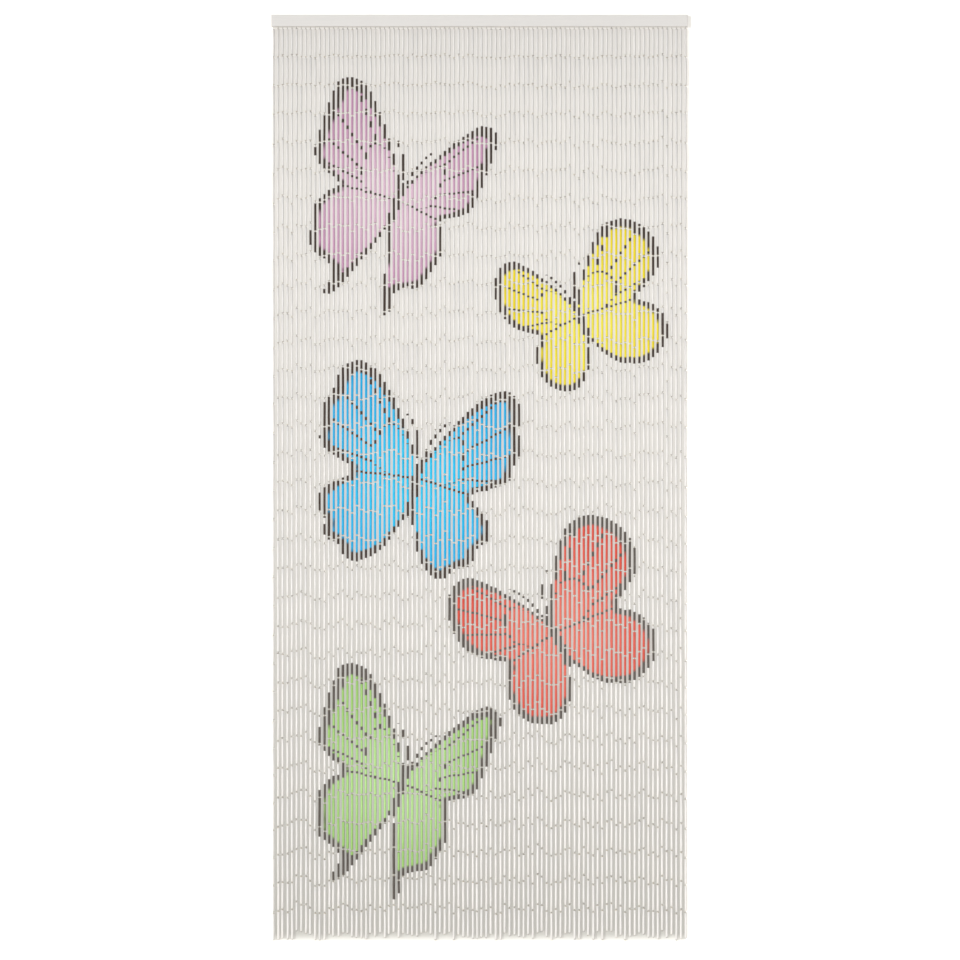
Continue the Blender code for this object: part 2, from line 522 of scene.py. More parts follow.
spots = lay_out(tree, given)
number = add(tree, "GeometryNodeInputIndex")
any_turn = add(tree, RANDOM, 0.0, math.tau, number, given["First Strand"])
spin = add(tree, "FunctionNodeAxisAngleToRotation", (0, 0, 1), any_turn)
half_gap = add(tree, MATH, given["Joint Gap"], 0.5, operation="MULTIPLY")
lift = add(tree, COMBINE, 0.0, 0.0, half_gap)
raised = add(tree, SET_POSITION, spots["Points"], None, None, lift)
link_in = add(tree, "GeometryNodeObjectInfo", given["Joint Link"]).outputs["Geometry"]
joints = add(tree, "GeometryNodeInstanceOnPoints", raised, None, link_in, None, None, spin)

final_tube = add(tree, MATH, given["Tubes per Strand"], 1, operation="SUBTRACT")
is_last = add(tree, "FunctionNodeCompare", spots["Tube"], final_tube, data_type="INT", operation="EQUAL")
lowered = add(tree, SET_POSITION, spots["Points"], None, spots["Tube Foot"])
eye_in = add(tree, "GeometryNodeObjectInfo", given["Foot Eye"]).outputs["Geometry"]
eyes = add(tree, "GeometryNodeInstanceOnPoints", lowered, is_last, eye_in, None, None, spin)
both = add(tree, "GeometryNodeJoinGeometry", joints)
fill(tree, both.inputs[0], eyes)
real = add(tree, "GeometryNodeRealizeInstances", both)
wired = add(tree, SET_MATERIAL, real, None, given["Wire"])
fill(tree, result.inputs["Links"], wired)
links_tree = tree
print("link tree has", len(tree.nodes), "nodes")

# %% [markdown]
# ## A butterfly, drawn with arithmetic
#
# The curtain carries a design of large butterflies, stencilled across the strands. A picture file
# would do it, but a drawing made of formulas stays sharp at any size and can be moved about.
# Seen from the middle of its body, a butterfly's outline is a distance for each angle, so the
# shape of both wings is one curve: the fore wing's tip is the tall hump, the notch between the
# wings is the dip, and the hind wing is the second hump. Folding x at the body draws the other
# side, and squeezing one side turns the butterfly away. All lengths are in parts of the wing's
# length. The paint's colours are tests too: inside the outline, or within the soft dark rim that
# widens towards the wing's tip. The fore wing has a cell near the body and veins fanning out from
# it, and a dark seam parts it from the hind wing, which is left plain.

# %% Wing outlines
ROUND_WINGS = (
    (-90, 0.12), (-82, 0.38), (-70, 0.66), (-56, 0.80), (-40, 0.82), (-26, 0.74), (-14, 0.62), (-6, 0.52),
    (3, 0.62), (11, 0.78), (22, 0.90), (34, 0.97), (46, 0.99), (56, 0.92), (62, 0.70), (67, 0.42),
    (74, 0.20), (82, 0.08), (90, 0.04),
)
TAILED_WINGS = (
    (-90, 0.10), (-85, 0.34), (-80, 0.62), (-77, 0.96), (-74, 1.06), (-71, 0.86), (-64, 0.82), (-54, 0.84),
    (-42, 0.76), (-28, 0.68), (-15, 0.56), (-6, 0.48), (2, 0.60), (10, 0.74), (20, 0.80), (32, 0.90),
    (42, 1.02), (50, 1.12), (56, 1.08), (61, 0.84), (66, 0.48), (74, 0.20), (83, 0.07), (90, 0.04),
)
BROAD_WINGS = (
    (-90, 0.14), (-81, 0.46), (-70, 0.78), (-62, 0.86), (-54, 0.82), (-46, 0.86), (-37, 0.79), (-28, 0.80),
    (-16, 0.66), (-6, 0.50), (2, 0.62), (10, 0.80), (18, 0.84), (26, 0.92), (34, 0.94), (42, 1.02),
    (50, 1.06), (57, 0.98), (62, 0.74), (68, 0.40), (76, 0.16), (84, 0.07), (90, 0.05),
)
NOTCH_ANGLE = math.radians(-6)
RIM_WIDTH, RIM_GROWTH, RIM_FADE = 0.016, 0.056, 0.022
RIM_TURN = 0.018
VEIN_COUNT, VEIN_WIDTH, CELL_SHARE = 12, 0.018, 0.46
BODY_HALF = (0.036, 0.25)
BODY_DROP = 0.08
FEELER_START, FEELER_END, FEELER_BEND, FEELER_WIDTH = 0.16, 0.50, 1.2, 0.012
FEELER_ROOT = 0.03
PALE_REACH = (0.15, 0.85)
CURVE = "ShaderNodeFloatCurve"


def bend_through(node, spots):
    """Bends a curve node smoothly through a few spots, whose first numbers run from 0 to 1."""
    curve = node.mapping.curves[0]
    node.mapping.clip_max_y = max(height for _, height in spots)
    curve.points[0].location, curve.points[1].location = spots[0], spots[-1]
    for spot in spots[1:-1]:
        curve.points.new(*spot)
    node.mapping.update()
    return node


print("outlines of", [len(outline) for outline in (ROUND_WINGS, TAILED_WINGS, BROAD_WINGS)], "points")

# %% Butterfly node group
def butterfly_group(name, outline):
    """A shader group that paints one butterfly: its colour, and a mask that is 1 where there is paint."""
    tree, given, result = new_group("ShaderNodeTree", name, {
        "Spot": "Vector", "Place": "Vector", "Tilt": "Float", "Size": "Float", "Turned Away": "Float",
        "Wing": "Color", "Wing Middle": "Color", "Outline": "Color",
    }, {"Colour": "Color", "Mask": "Float"})

    offset = add(tree, VECTOR_MATH, given["Spot"], given["Place"], operation="SUBTRACT")
    upright = add(tree, "ShaderNodeVectorRotate", offset, (0, 0, 0), given["Tilt"], rotation_type="Z_AXIS")
    shrink = add(tree, MATH, 1.0, given["Size"], operation="DIVIDE")
    drawn = add(tree, SEPARATE, add(tree, VECTOR_MATH, upright, shrink, operation="SCALE"))
    x, y = drawn.outputs["X"], drawn.outputs["Y"]
    squeeze = add(tree, MATH, add(tree, MATH, x, operation="SIGN"), given["Turned Away"], 1.0,
                  operation="MULTIPLY_ADD")
    out = add(tree, MATH, add(tree, MATH, x, operation="ABSOLUTE"), squeeze, operation="MULTIPLY")
    reach = add(tree, VECTOR_MATH, add(tree, COMBINE, out, y, 0.0), operation="LENGTH").outputs["Value"]
    angle = add(tree, MATH, y, out, operation="ARCTAN2")
    turn = add(tree, MATH, angle, 1 / math.pi, 0.5, operation="MULTIPLY_ADD")

    spots = [(degrees / 180 + 0.5, wing_reach) for degrees, wing_reach in outline]
    edge = bend_through(add(tree, CURVE, 1.0, turn), spots)
    # Where the outline is steep, its nearest point lies a little to one side
    nearest = edge
    for shift in (-RIM_TURN, RIM_TURN):
        shifted = add(tree, MATH, turn, shift)
        beside = bend_through(add(tree, CURVE, 1.0, shifted), spots)
        nearest = add(tree, MATH, nearest, beside, operation="MINIMUM")
    inside = add(tree, MATH, reach, edge, operation="LESS_THAN")
    rim_width = add(tree, MATH, add(tree, MATH, reach, 2.0, operation="POWER"), RIM_GROWTH, RIM_WIDTH,
                    operation="MULTIPLY_ADD")
    rim_start = add(tree, MATH, nearest, rim_width, operation="SUBTRACT")
    fade_start = add(tree, MATH, rim_start, RIM_FADE, operation="SUBTRACT")
    rim = add(tree, MAP_RANGE, reach, fade_start, rim_start, 0.0, 1.0)

    past_notch = add(tree, MATH, angle, NOTCH_ANGLE, operation="SUBTRACT")
    fan = add(tree, MATH, add(tree, MATH, past_notch, VEIN_COUNT, operation="MULTIPLY"), operation="SINE")
    fan = add(tree, MATH, add(tree, MATH, fan, operation="ABSOLUTE"), reach, operation="MULTIPLY")
    vein = add(tree, MATH, fan, VEIN_COUNT * VEIN_WIDTH / 2, operation="LESS_THAN")
    cell_edge = add(tree, MATH, edge, CELL_SHARE, operation="MULTIPLY")
    vein = add(tree, MATH, vein, add(tree, MATH, reach, cell_edge, operation="GREATER_THAN"),
               operation="MULTIPLY")
    cell_wall = add(tree, MATH, reach, cell_edge, VEIN_WIDTH / 2, operation="COMPARE")
    on_fore_wing = add(tree, MATH, past_notch, 0.0, operation="GREATER_THAN")
    veins = add(tree, MATH, add(tree, MATH, vein, cell_wall, operation="MAXIMUM"), on_fore_wing,
                operation="MULTIPLY")
    from_seam = add(tree, MATH, past_notch, reach, operation="MULTIPLY")
    seam = add(tree, MATH, from_seam, 0.0, VEIN_WIDTH / 2, operation="COMPARE")

    body_y = add(tree, MATH, add(tree, MATH, y, BODY_DROP), BODY_HALF[1], operation="DIVIDE")
    body_x = add(tree, MATH, out, BODY_HALF[0], operation="DIVIDE")
    body_reach = add(tree, VECTOR_MATH, add(tree, COMBINE, body_x, body_y, 0.0),
                     operation="LENGTH").outputs["Value"]
    body = add(tree, MATH, body_reach, 1.0, operation="LESS_THAN")

    up = add(tree, MATH, y, FEELER_START, operation="SUBTRACT")
    bend = add(tree, MATH, add(tree, MATH, up, up, operation="MULTIPLY"), FEELER_BEND, FEELER_ROOT,
               operation="MULTIPLY_ADD")
    feeler = add(tree, MATH, out, bend, FEELER_WIDTH, operation="COMPARE")
    for limit, test in ((FEELER_START, "GREATER_THAN"), (FEELER_END, "LESS_THAN")):
        feeler = add(tree, MATH, feeler, add(tree, MATH, y, limit, operation=test), operation="MULTIPLY")

    dark, mask = rim, inside
    for mark in (veins, seam, body, feeler):
        dark = add(tree, MATH, dark, mark, operation="MAXIMUM")
    for mark in (body, feeler):
        mask = add(tree, MATH, mask, mark, operation="MAXIMUM")
    fade = add(tree, MAP_RANGE, reach, *PALE_REACH, 1.0, 0.0, interpolation_type="SMOOTHSTEP")
    wing = add(tree, MIX, fade, given["Wing"], given["Wing Middle"], data_type="RGBA")
    colour = add(tree, MIX, dark, wing, given["Outline"], data_type="RGBA")
    fill(tree, result.inputs["Colour"], colour)
    fill(tree, result.inputs["Mask"], mask)
    return tree


round_winged = butterfly_group("round_winged_butterfly", ROUND_WINGS)
tailed = butterfly_group("tailed_butterfly", TAILED_WINGS)
broad = butterfly_group("broad_butterfly", BROAD_WINGS)
print("a butterfly group has", len(broad.nodes), "nodes")

# %% [markdown]
# ## Where the butterflies are
#
# Five of them climb the curtain from side to side, each in one bright colour that pales towards
# the body, outlined in dark brown above and in a greyer brown below. Every row is one butterfly:
# its kind, how far right of the middle and below the rail it is, how far it leans, its wing's
# length, how much it turns away, its two colours and its outline. Some tubes take the ink better
# than others, so a little of the ivory comes through.

# %% The design
DARK_BROWN, GREY_BROWN = "#3B2C24", "#57504A"
DESIGN = (
    (tailed, -0.175, 0.400, 20, 0.240, 0.14, "#C795B7", "#DFBCD2", DARK_BROWN),
    (round_winged, 0.215, 0.650, -22, 0.215, -0.16, "#EDD910", "#F2E542", DARK_BROWN),
    (broad, -0.135, 1.000, 12, 0.265, 0.06, "#00ABE3", "#08C3F0", DARK_BROWN),
    (round_winged, 0.160, 1.335, -28, 0.255, -0.12, "#D64C3B", "#E27161", GREY_BROWN),
    (tailed, -0.165, 1.660, 18, 0.240, 0.14, "#98C66C", "#B2DC8E", GREY_BROWN),
)
THINNEST_PAINT = 0.98


def add_design(tree, ground, spot, cover):
    """Paints the butterflies on a ground colour. Returns the new colour and the ink's mask."""
    ink = None
    for kind, right, below, lean, size, away, wing, middle, outline in DESIGN:
        place = (right, rail_high.z - below, 0.0)
        one = add(tree, "ShaderNodeGroup", spot, place, math.radians(lean), size, away,
                  linear(wing), linear(middle), linear(outline), node_tree=kind)
        mask = add(tree, MATH, one.outputs["Mask"], cover, operation="MULTIPLY")
        ground = add(tree, MIX, mask, ground, one.outputs["Colour"], data_type="RGBA")
        ink = mask if ink is None else add(tree, MATH, ink, mask, operation="MAXIMUM")
    return ground, ink


print(len(DESIGN), "butterflies in the design")

# %% [markdown]
# ## Ivory enamel on bamboo
#
# The tubes are dipped in a semi-gloss ivory enamel, which fills the grain only partly: fine ridges
# half a millimetre apart still run down each tube and catch the light. Batches differ a little, so
# some tubes are creamier and some greyer. Where two tubes knock together the enamel has chipped,
# and the bamboo shows straw-coloured on some tubes; on others these spots are painted dark, as
# painted shade at the joints. The design is painted round each tube, which spins freely on its
# wire, so its colour depends on the tube's own axis and the height alone. The ink creeps along the
# grain, which frays its edges, and lies thinner on the ridges, which streaks it.

# %% Material of the tubes
def new_material(name):
    """An empty material with a Principled shader, as (material, tree, shader)."""
    material = bpy.data.materials.new(name)
    material.use_nodes = True
    tree = material.node_tree
    return material, tree, tree.nodes["Principled BSDF"]


def set_shader(tree, shader, **inputs):
    """Fills the shader's inputs by name, with spaces written as underscores."""
    for label, value in inputs.items():
        fill(tree, shader.inputs[label.replace("_", " ")], value)


FIBRE_SPACING = 0.5 * MM
FIBRE_LENGTH = 16 * MM
CHIP_REACH = 1.3 * MM
STENCIL_SLIP = 2.4 * MM
INK_BLEED = 2.0 * MM
STREAK_SHOW = 0.08
# How far apart in the noise the lots lie, and how many spots of wear fit round and down a tube; on some
# tubes these spots are painted dark as shade at the joints
LOT_SHIFT = 60.0
CHIPS_ROUND, CHIPS_DOWN = 5.0, 9.0
RIDGE_HEIGHT = 0.08 * MM
ENAMEL_IOR = 1.5
ENAMEL_ROUGHNESS, INK_ROUGHNESS = (0.34, 0.48), 0.6
ENAMEL_SHINE, INK_SHINE = 0.5, 0.2

enamel, tree, shader = new_material("ivory_enamel_on_bamboo")
lot = add(tree, LOOK_UP, attribute_name="lot").outputs["Fac"]
axis_x = add(tree, LOOK_UP, attribute_name="axis_x").outputs["Fac"]
on_tube = add(tree, SEPARATE, add(tree, "ShaderNodeUVMap", uv_map="unrolled"))
around, along = on_tube.outputs["X"], on_tube.outputs["Y"]

outside_length = OUTSIDE_ON_MAP[1] - OUTSIDE_ON_MAP[0]
fibres_round = math.tau * TUBE_RADIUS / FIBRE_SPACING
fibres_down = TUBE_LENGTH / outside_length / FIBRE_LENGTH
fibre_spot = add(tree, COMBINE, add(tree, MATH, around, fibres_round, operation="MULTIPLY"),
                 add(tree, MATH, along, fibres_down, operation="MULTIPLY"),
                 add(tree, MATH, lot, LOT_SHIFT, operation="MULTIPLY"))
fibre = add(tree, NOISE, fibre_spot, 1.0, 2.0, 0.6)

batch = add(tree, MIX, lot, linear("#EDEAE7"), linear("#E8E6E4"), data_type="RGBA")
thin = add(tree, MAP_RANGE, fibre, 0.52, 0.75, 0.0, 0.35)
ivory = add(tree, MIX, thin, batch, linear("#DFD8CF"), data_type="RGBA")

height = add(tree, SEPARATE, add(tree, COORDINATES).outputs["Object"]).outputs["Z"]
slip = add(tree, MATH, add(tree, MATH, lot, 0.5, operation="SUBTRACT"), STENCIL_SLIP, operation="MULTIPLY")
bleed = add(tree, MATH, add(tree, MATH, fibre, 0.5, operation="SUBTRACT"), INK_BLEED, slip,
            operation="MULTIPLY_ADD")
spot = add(tree, COMBINE, axis_x, add(tree, MATH, height, bleed), 0.0)
thickness = add(tree, MAP_RANGE, lot, 0.0, 1.0, THINNEST_PAINT, 1.0)
streaks = add(tree, MAP_RANGE, fibre, 0.45, 0.72, 1.0, 1.0 - STREAK_SHOW)
cover = add(tree, MATH, thickness, streaks, operation="MULTIPLY")
painted, ink = add_design(tree, ivory, spot, cover)

from_end = add(tree, MATH, add(tree, MATH, along, sum(OUTSIDE_ON_MAP) / 2, operation="SUBTRACT"),
               operation="ABSOLUTE")
left_over = add(tree, MATH, outside_length / 2, from_end, operation="SUBTRACT")
to_end = add(tree, MATH, left_over, TUBE_LENGTH / outside_length, operation="MULTIPLY")
chip_spot = add(tree, COMBINE, add(tree, MATH, around, CHIPS_ROUND, operation="MULTIPLY"), lot,
                add(tree, MATH, along, CHIPS_DOWN, operation="MULTIPLY"))
chip_noise = add(tree, NOISE, chip_spot, 2.0, 3.0, 0.7)
chip_edge = add(tree, MAP_RANGE, chip_noise, 0.4, 0.62, 0.0, CHIP_REACH)
chipped = add(tree, MATH, to_end, chip_edge, operation="LESS_THAN")
# Painted shade: where the enamel has chipped, some tubes show straw-coloured bamboo and others a dark tone
# that stands for the shade at the joints
bare_bamboo_and_joint_shade = add(tree, MIX, lot, linear("#CDC3AE"), linear("#6A645A"), data_type="RGBA")
surface = add(tree, MIX, chipped, painted, bare_bamboo_and_joint_shade, data_type="RGBA")

gloss = add(tree, MAP_RANGE, fibre, 0.3, 0.7, *ENAMEL_ROUGHNESS)
gloss = add(tree, MIX, ink, gloss, INK_ROUGHNESS)
shine = add(tree, MAP_RANGE, ink, 0.0, 1.0, ENAMEL_SHINE, INK_SHINE)
ridges = add(tree, "ShaderNodeBump", 0.8, RIDGE_HEIGHT, None, fibre)
set_shader(tree, shader, Base_Color=surface, Roughness=gloss, Specular_IOR_Level=shine, Normal=ridges,
           IOR=ENAMEL_IOR)
print("enamel has", len(tree.nodes), "nodes")

# %% [markdown]
# ## Sawn bamboo, wire and the rail's paint
#
# The sawn ends are raw bamboo: pale straw with darker dots where the fibre bundles are cut
# across. The wire is galvanised iron, a grey metal with a soft shine. The rail is planed softwood
# under the same ivory, brushed on lengthwise, which leaves faint streaks, and its grain shows
# through as long shallow hollows.

# %% Other materials
BUNDLE_SPACING = 0.35 * MM
SPANGLE_SIZE = 2.0 * MM
BRUSH_STROKE, BRUSH_SPACING = 120 * MM, 1.2 * MM
GRAIN_LENGTH, GRAIN_SPACING = 90 * MM, 5.0 * MM
PINE_LENGTH, PINE_SPACING = 60 * MM, 1.5 * MM
PAINT_RELIEF = 0.15 * MM


def streaks_along(tree, length, spacing, detail, roughness):
    """Noise drawn out along X, in streaks of a real length and spacing."""
    place = add(tree, COORDINATES).outputs["Object"]
    drawn_out = add(tree, "ShaderNodeMapping", place, None, None, (1 / length, 1 / spacing, 1 / spacing))
    return add(tree, NOISE, drawn_out, 1.0, detail, roughness)


cut_bamboo, tree, shader = new_material("sawn_bamboo")
place = add(tree, COORDINATES).outputs["Object"]
bundles = add(tree, "ShaderNodeTexVoronoi", place, 1 / BUNDLE_SPACING)
dots = add(tree, MAP_RANGE, bundles, 0.12, 0.35, 1.0, 0.0)
straw = add(tree, MIX, dots, linear("#DCC797"), linear("#A98756"), data_type="RGBA")
set_shader(tree, shader, Base_Color=straw, Roughness=0.75, IOR=1.45)

wire, tree, shader = new_material("galvanised_wire")
place = add(tree, COORDINATES).outputs["Object"]
spangle = add(tree, NOISE, place, 1 / SPANGLE_SIZE, 2.0)
dulled = add(tree, MAP_RANGE, spangle, 0.3, 0.7, 0.28, 0.5)
zinc = add(tree, MIX, spangle, linear("#6C6A67"), linear("#92908C"), data_type="RGBA")
set_shader(tree, shader, Base_Color=zinc, Roughness=dulled, Metallic=1.0)

rail_paint, tree, shader = new_material("brushed_ivory_paint")
streak = streaks_along(tree, BRUSH_STROKE, BRUSH_SPACING, 3.0, 0.55)
grain = streaks_along(tree, GRAIN_LENGTH, GRAIN_SPACING, 2.0, 0.5)
thickness = add(tree, MAP_RANGE, streak, 0.3, 0.7, 0.0, 1.0)
coat = add(tree, MIX, thickness, linear("#EAE8E5"), linear("#EEEBE8"), data_type="RGBA")
relief = add(tree, MATH, streak, 0.4, grain, operation="MULTIPLY_ADD")
worn = add(tree, MAP_RANGE, streak, 0.3, 0.7, 0.52, 0.40)
brushed = add(tree, "ShaderNodeBump", 0.35, PAINT_RELIEF, None, relief)
set_shader(tree, shader, Base_Color=coat, Roughness=worn, Normal=brushed, IOR=ENAMEL_IOR)

raw_pine, tree, shader = new_material("raw_pine")
rings = streaks_along(tree, PINE_LENGTH, PINE_SPACING, 2.0, 0.5)
pine = add(tree, MIX, rings, linear("#D9BD8E"), linear("#B98F58"), data_type="RGBA")
set_shader(tree, shader, Base_Color=pine, Roughness=0.7)
print("materials:", [material.name for material in (enamel, cut_bamboo, wire, rail_paint, raw_pine)])

# %% [markdown]
# ## Growing the panels
#
# A modifier on an empty mesh runs a tree. Its inputs are set by the sockets' identifiers before
# the object is first evaluated. The result is then copied into a plain mesh and the modifier is
# taken off, so what is left is an ordinary object that any program can read.

# %% Grow tubes and links
STRANDS_PER_TUBE_PANEL = 10
STRANDS_PER_LINK_PANEL = 30
LAYOUT_SEED = 11

shared = {
    "Strand Paths": strand_paths, "Tubes per Strand": TUBES_PER_STRAND, "Tube Length": TUBE_LENGTH,
    "Length Spread": LENGTH_SPREAD, "Joint Gap": JOINT_GAP, "Foot Room": FOOT_EYE_DROP,
    "Joint Nudge": JOINT_NUDGE, "Seed": LAYOUT_SEED,
}


def apply_modifiers(piece):
    """Keeps what an object's modifiers make of it as its own plain mesh, and takes them off."""
    bpy.context.view_layer.update()
    evaluated = piece.evaluated_get(bpy.context.evaluated_depsgraph_get())
    made = bpy.data.meshes.new_from_object(evaluated)
    piece.modifiers.clear()
    piece.data = made
    made.name = piece.name
    return made


def grow(name, tree, inputs):
    """Runs a geometry tree and keeps the result as an object with a plain mesh."""
    piece = show(bpy.data.objects.new(name, bpy.data.meshes.new(name)))
    modifier = piece.modifiers.new("grow", "NODES")
    modifier.node_group = tree
    for item in tree.interface.items_tree:
        if item.in_out == "INPUT" and item.name in inputs:
            modifier[item.identifier] = inputs[item.name]
    grown = apply_modifiers(piece)
    print(name, "has", sum(len(face.vertices) - 2 for face in grown.polygons), "triangles")
    return piece


def grow_panels(name, tree, strands_each, inputs):
    """Grows one panel after another, from the left edge of the curtain to the right."""
    firsts = range(0, STRAND_COUNT, strands_each)
    inputs = shared | inputs | {"Strands": strands_each}
    return [grow(f"{name}_{first + 1:02}", tree, inputs | {"First Strand": first}) for first in firsts]


tube_panels = grow_panels("tubes", tubes_tree, STRANDS_PER_TUBE_PANEL, {
    "Tube Shapes": tube_shapes, "Shape Count": len(tube_shapes.objects), "Narrowest": WIDTH_RANGE[0],
    "Widest": WIDTH_RANGE[1], "Paint": enamel, "Cut Bamboo": cut_bamboo,
})
link_panels = grow_panels("links", links_tree, STRANDS_PER_LINK_PANEL, {
    "Joint Link": joint_link, "Foot Eye": foot_eye, "Wire": wire,
})
bpy.data.objects.remove(strand_paths)

# %% [markdown]
# ## The header rail
#
# The rail is a planed lath with its edges eased by sandpaper, and a groove below that hides the
# batten from which the strands hang. A Bevel rounds every edge and a Boolean ploughs the groove,
# in the order in which a joiner would do it. Smooth shading alone would bend the light across the
# broad flat faces too, so a Weighted Normal modifier gives those faces their own normals back.

# %% Rail and batten
EASED_EDGE = 1.5 * MM
GROOVE_WIDTH, GROOVE_HEIGHT, GROOVE_END = 6.6 * MM, 6.0 * MM, 1.2 * MM
CLEARANCE = 0.3 * MM
BATTEN_HEIGHT, BATTEN_EASING = 3.0 * MM, 0.4 * MM


def block(name, low, high):
    """A box between two corners, with its place in its mesh."""
    bm = bmesh.new()
    bmesh.ops.create_cube(bm, size=1.0)
    bmesh.ops.scale(bm, verts=bm.verts, vec=high - low)
    bmesh.ops.translate(bm, verts=bm.verts, vec=(low + high) / 2)
    return show(keep(name, bm))


def settle(piece, sharp_degrees=30):
    """Applies an object's modifiers, smooths its rounded edges and keeps its broad faces flat."""
    mesh = apply_modifiers(piece)
    mesh.shade_smooth()
    mesh.set_sharp_from_angle(angle=math.radians(sharp_degrees))
    flatten = piece.modifiers.new("flat_faces", "WEIGHTED_NORMAL")
    flatten.keep_sharp = True
    apply_modifiers(piece)
    return piece


def ease(piece, width, segments):
    """Rounds every edge of a block."""
    bevel = piece.modifiers.new("eased_edges", "BEVEL")
    bevel.width = width
    bevel.segments = segments
    return piece


centre_y = (rail_low.y + rail_high.y) / 2
groove_half = Vector((rail_high.x - GROOVE_END, GROOVE_WIDTH / 2, GROOVE_HEIGHT))
groove_centre = Vector((0, centre_y, rail_low.z))
rail = ease(block("rail", rail_low, rail_high), EASED_EDGE, segments=4)
plough = block("plough", groove_centre - groove_half, groove_centre + groove_half)
cut = rail.modifiers.new("groove", "BOOLEAN")
cut.operation = "DIFFERENCE"
cut.object = plough
settle(rail)
bpy.data.objects.remove(plough)
rail.data.materials.clear()
rail.data.materials.append(rail_paint)

batten_high = groove_centre + groove_half - Vector((CLEARANCE, CLEARANCE, CLEARANCE))
batten_low = Vector((-batten_high.x, 2 * centre_y - batten_high.y, batten_high.z - BATTEN_HEIGHT))
batten = settle(ease(block("batten", batten_low, batten_high), BATTEN_EASING, segments=2))
batten.data.materials.append(raw_pine)
print("rail has", len(rail.data.polygons), "faces")

# %% [markdown]
# ## Telling the frame what each piece is
#
# The curtain has no joints, so every piece rides on its one body. The tubes, links and batten
# together stand for the plain strands, and the rail stands for the plain rail.

# %% Pieces and bodies
hanging = [*tube_panels, *link_panels, batten]
for piece in hanging:
    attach(piece, "root")
    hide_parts("strands")
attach(rail, "root")
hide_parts("header_rail")
print(len(hanging) + 1, "pieces")

# %% [markdown]
# ## The wall and the floor
#
# The curtain hangs close in front of a white wall, as in a catalogue picture, and what shows
# between the strands decides how it reads: there the wall looks grey, darker towards the foot,
# while the open wall round the curtain is pure white. So the part of the wall that the strands
# cover is painted dark grey: it is painted shade, standing for the curtain's shadow on the wall,
# and its lower edge fades out as a painted shadow under the foot. A painted glow that is stronger
# towards the rail brings it up to the tone of the gaps. A paler panel without a glow would take its
# light from the tubes and turn dull behind the inked ones. Wall and floor have one side only, like
# a film set that is open at the back, and the wall throws no shadow, so the curtain can be looked
# at and lit from behind too. Behind the rail the wall is pale and doesn't glow, or the light
# trapped between the two would bleach the rail's back.

# %% Wall and floor
WALL_GAP = 1.0 * MM
FLOOR_DROP = 0.045
ROOM_HALF = 7.0
WALL_GLOW = 0.4
# Painted light: how strongly the painted shade panel glows, from the lowest foot (0) up to the rail (1)
PAINTED_SHADE_GLOW = ((0.0, 0.345), (0.22, 0.42), (0.5, 0.54), (0.85, 0.63), (1.0, 0.56))
# Painted shadow: the panel fades into the open wall from this far above the lowest foot to this far below
# it
PAINTED_SHADOW_FADE = (18 * MM, -16 * MM)
BEHIND_RAIL = "#E8E6E2"


def stage_sheet(name, corners, material):
    """A flat four-cornered piece of the set."""
    mesh = bpy.data.meshes.new(name)
    mesh.from_pydata(corners, [], [(0, 1, 2, 3)])
    mesh.materials.append(material)
    made = show(bpy.data.objects.new(name, mesh))
    return made


def open_from_behind(tree, shader):
    """Lets a material show only on the side that its faces point to."""
    back = add(tree, "ShaderNodeNewGeometry").outputs["Backfacing"]
    clear = add(tree, "ShaderNodeBsdfTransparent")
    one_sided = add(tree, "ShaderNodeMixShader", back, shader, clear)
    fill(tree, tree.nodes["Material Output"].inputs["Surface"], one_sided)


def outside_panel(tree, place, half_width, low, high):
    """Is 1 outside a panel on the wall that is centred on X, between two heights, and 0 inside it."""
    off_centre = add(tree, MATH, place, operation="ABSOLUTE")
    past_side = add(tree, MATH, off_centre, half_width, operation="SUBTRACT")
    off_middle = add(tree, MATH, place.outputs["Z"], (low + high) / 2, operation="SUBTRACT")
    past_edge = add(tree, MATH, add(tree, MATH, off_middle, operation="ABSOLUTE"), (high - low) / 2,
                    operation="SUBTRACT")
    farthest = add(tree, MATH, past_side, past_edge, operation="MAXIMUM")
    return add(tree, MATH, farthest, 0.0, operation="GREATER_THAN")


floor_z = solid_box[0].z - FLOOR_DROP
wall_y = rail_high.y + WALL_GAP
wall_paint, tree, shader = new_material("white_wall")
# The dark grey panel behind the strands is painted shade, standing for the curtain's shadow on the wall
painted_shade_half = (STRAND_COUNT - 1) / 2 * STRAND_PITCH
place = add(tree, SEPARATE, add(tree, COORDINATES).outputs["Object"])
outside_painted_shade = outside_panel(tree, place, painted_shade_half, floor_z, rail_low.z)
height = add(tree, MATH, place.outputs["Z"], solid_box[0].z, operation="SUBTRACT")
# Painted shadow under the foot: the panel fades out round the lowest foot
under_painted_shadow = add(tree, MAP_RANGE, height, *PAINTED_SHADOW_FADE, 0.0, 1.0, interpolation_type="SMOOTHSTEP")
open_wall = add(tree, MATH, outside_painted_shade, under_painted_shadow, operation="MAXIMUM")
up_painted_shade = add(tree, MAP_RANGE, height, 0.0, solid_box[1].z - solid_box[0].z, 0.0, 1.0)
# Painted shade: the panel's grey, a little darker towards the foot
painted_shade = add(tree, MIX, up_painted_shade, linear("#8A8983"), linear("#8E8C8B"), data_type="RGBA")
tone = add(tree, MIX, open_wall, painted_shade, linear("#F4F3F0"), data_type="RGBA")
# Painted light: the panel glows, more strongly towards the rail
painted_shade_glow = bend_through(add(tree, CURVE, 1.0, up_painted_shade), PAINTED_SHADE_GLOW)
glow = add(tree, MIX, open_wall, painted_shade_glow, WALL_GLOW)

in_the_open = outside_panel(tree, place, rail_high.x - EASED_EDGE, rail_low.z + EASED_EDGE,
                            rail_high.z - EASED_EDGE)
tone = add(tree, MIX, in_the_open, linear(BEHIND_RAIL), tone, data_type="RGBA")
glow = add(tree, MATH, glow, in_the_open, operation="MULTIPLY")
set_shader(tree, shader, Base_Color=tone, Roughness=0.9, Emission_Color=linear("#FFFCF6"),
           Emission_Strength=glow)
open_from_behind(tree, shader)

floor_paint, tree, shader = new_material("pale_floor")
set_shader(tree, shader, Base_Color=linear("#E9E7E2"), Roughness=0.7)
open_from_behind(tree, shader)

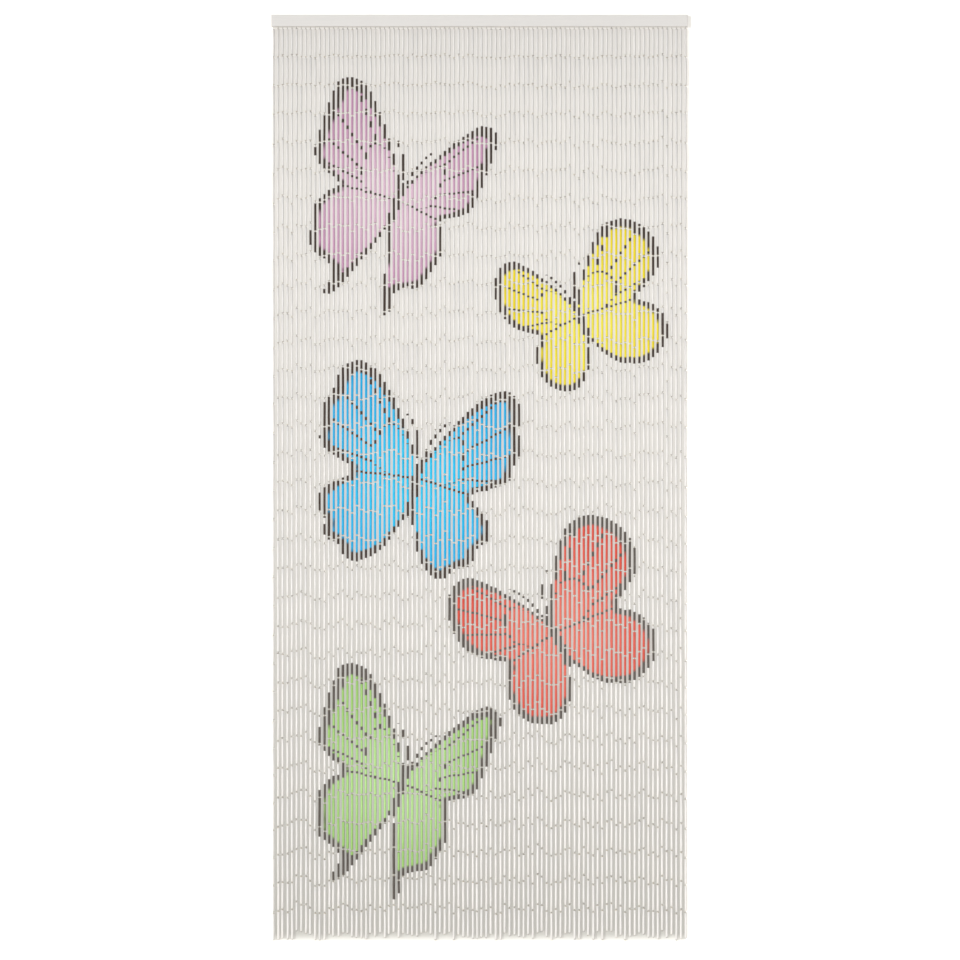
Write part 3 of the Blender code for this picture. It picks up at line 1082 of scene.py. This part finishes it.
wall = stage_sheet("wall", [(-ROOM_HALF, wall_y, floor_z), (ROOM_HALF, wall_y, floor_z),
                            (ROOM_HALF, wall_y, ROOM_HALF), (-ROOM_HALF, wall_y, ROOM_HALF)], wall_paint)
wall.visible_shadow = False
stage_sheet("floor", [(-ROOM_HALF, -ROOM_HALF, floor_z), (ROOM_HALF, -ROOM_HALF, floor_z),
                      (ROOM_HALF, ROOM_HALF, floor_z), (-ROOM_HALF, ROOM_HALF, floor_z)], floor_paint)
print("floor at", round(floor_z, 3), "m")

# %% [markdown]
# ## Light
#
# Round tubes read best in light from the side. A sun lamp stands for a far window on the left:
# its light falls at the same slant everywhere, so every strand throws its shadow into the gap
# beside it and the stripes are as even on the right as on the left. A soft box in front brightens
# the tubes' middles, with a grid on it that keeps the light off the floor and lets it fade towards
# the rail. A third, weak light is for views from behind.

# %% Lights
WINDOW_BEAM = (0.506, 0.862, -0.10)
WINDOW_STRENGTH = 1.82
WINDOW_SOFTNESS = 9
GRID_SPREAD = 56
SKY_STRENGTH = 0.3


def hang_light(name, light, place, aim):
    """Puts a lamp at a place, facing a point. The camera doesn't see the lamp itself."""
    made = show(bpy.data.objects.new(name, light))
    made.location = place
    made.rotation_euler = (Vector(aim) - Vector(place)).to_track_quat("-Z", "Y").to_euler()
    made.visible_camera = False


def soft_box(name, place, aim, width, height, watts, spread=180):
    """A soft light with a flat face. A narrower spread is a grid in front of it."""
    light = bpy.data.lights.new(name, "AREA")
    light.shape = "RECTANGLE"
    light.size = width
    light.size_y = height
    light.energy = watts
    light.spread = math.radians(spread)
    hang_light(name, light, place, aim)


window = bpy.data.lights.new("window", "SUN")
window.energy = WINDOW_STRENGTH
window.angle = math.radians(WINDOW_SOFTNESS)
hang_light("window", window, (0, 0, 0), WINDOW_BEAM)
middle_z = PICTURE_CENTRE.z
soft_box("front", place=(0.2, -3.2, middle_z - 0.4), aim=(0, 0, middle_z - 0.4), width=2.0, height=0.8,
         watts=3.2, spread=GRID_SPREAD)
soft_box("behind", place=(1.2, 2.8, middle_z + 0.8), aim=(0, 0, middle_z), width=2.0, height=2.0, watts=30)

world = bpy.data.worlds.new("soft_daylight")
world.use_nodes = True
sky = world.node_tree.nodes["Background"]
sky.inputs["Color"].default_value = linear("#FFFFFF")
sky.inputs["Strength"].default_value = SKY_STRENGTH
bpy.context.scene.world = world
print("lights:", [light.name for light in bpy.data.lights])
